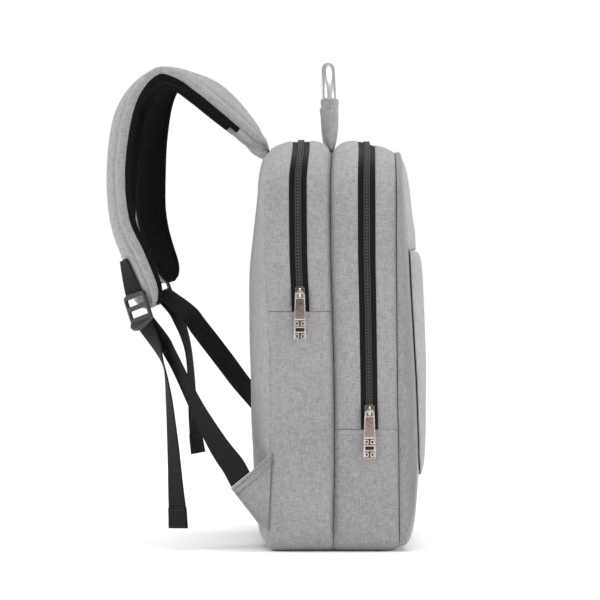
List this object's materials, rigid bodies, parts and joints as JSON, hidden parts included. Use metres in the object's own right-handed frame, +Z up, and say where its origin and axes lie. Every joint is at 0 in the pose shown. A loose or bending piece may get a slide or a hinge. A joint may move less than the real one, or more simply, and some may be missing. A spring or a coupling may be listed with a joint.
{
  "type": "laptop backpack",
  "caption": "Slim upright laptop backpack with padded shoulder straps, an aluminium arch handle and zipped compartments.",
  "frame": {"origin": "on the floor, near the middle of the base, at the flat rest face", "axes": "+Z up, -Y towards the front pocket, +Y towards the wearer's back, -X the wearer's left"},
  "size_m": [0.3561, 0.3409, 0.524],
  "materials": {
    "grey_fabric": "woven melange",
    "black_mesh": "spacer mesh",
    "black_webbing": "ribbed webbing",
    "zipper_tape": "coated tape",
    "zipper_coil": "satin",
    "buckle_plastic": "satin",
    "aluminium": "satin",
    "pull_metal": "dark nickel"
  },
  "bodies": {
    "bag": {"back_panel": "grey_fabric", "rear_back_strip": "grey_fabric", "rear_middle_strip": "grey_fabric", "rear_lower_gusset": "grey_fabric", "front_middle_strip": "grey_fabric", "front_edge_strip": "grey_fabric", "front_lower_gusset": "grey_fabric", "front_border": "grey_fabric", "front_panel": "grey_fabric", "front_pocket": "grey_fabric", "left_handle_sleeve": "grey_fabric", "right_handle_sleeve": "grey_fabric", "rear_zipper_tape": "zipper_tape", "front_zipper_tape": "zipper_tape", "rear_zipper_coil": "zipper_coil", "front_zipper_coil": "zipper_coil", "handle_tube": "aluminium", "rear_slider": "pull_metal", "front_slider": "pull_metal", "left_strap_cover": "grey_fabric", "left_strap_root": "grey_fabric", "left_strap_mesh": "black_mesh", "left_strap_tab": "black_webbing", "left_strap_buckle": "buckle_plastic", "left_lower_webbing": "black_webbing", "left_webbing_tail": "black_webbing", "left_wing": "grey_fabric", "right_strap_cover": "grey_fabric", "right_strap_root": "grey_fabric", "right_strap_mesh": "black_mesh", "right_strap_tab": "black_webbing", "right_strap_buckle": "buckle_plastic", "right_lower_webbing": "black_webbing", "right_webbing_tail": "black_webbing", "right_wing": "grey_fabric"},
    "rear_pull_body": {"rear_pull": "pull_metal"},
    "front_pull_body": {"front_pull": "pull_metal"}
  },
  "joints": [
    {"name": "rear_pull_hinge", "type": "hinge", "parent": "bag", "child": "rear_pull_body", "pos_m": [-0.1553, 0.03792, 0.2705], "axis": [0, 1, 0], "range_deg": [0, 170]},
    {"name": "front_pull_hinge", "type": "hinge", "parent": "bag", "child": "front_pull_body", "pos_m": [-0.1553, -0.03448, 0.1475], "axis": [0, 1, 0], "range_deg": [0, 170]}
  ]
}
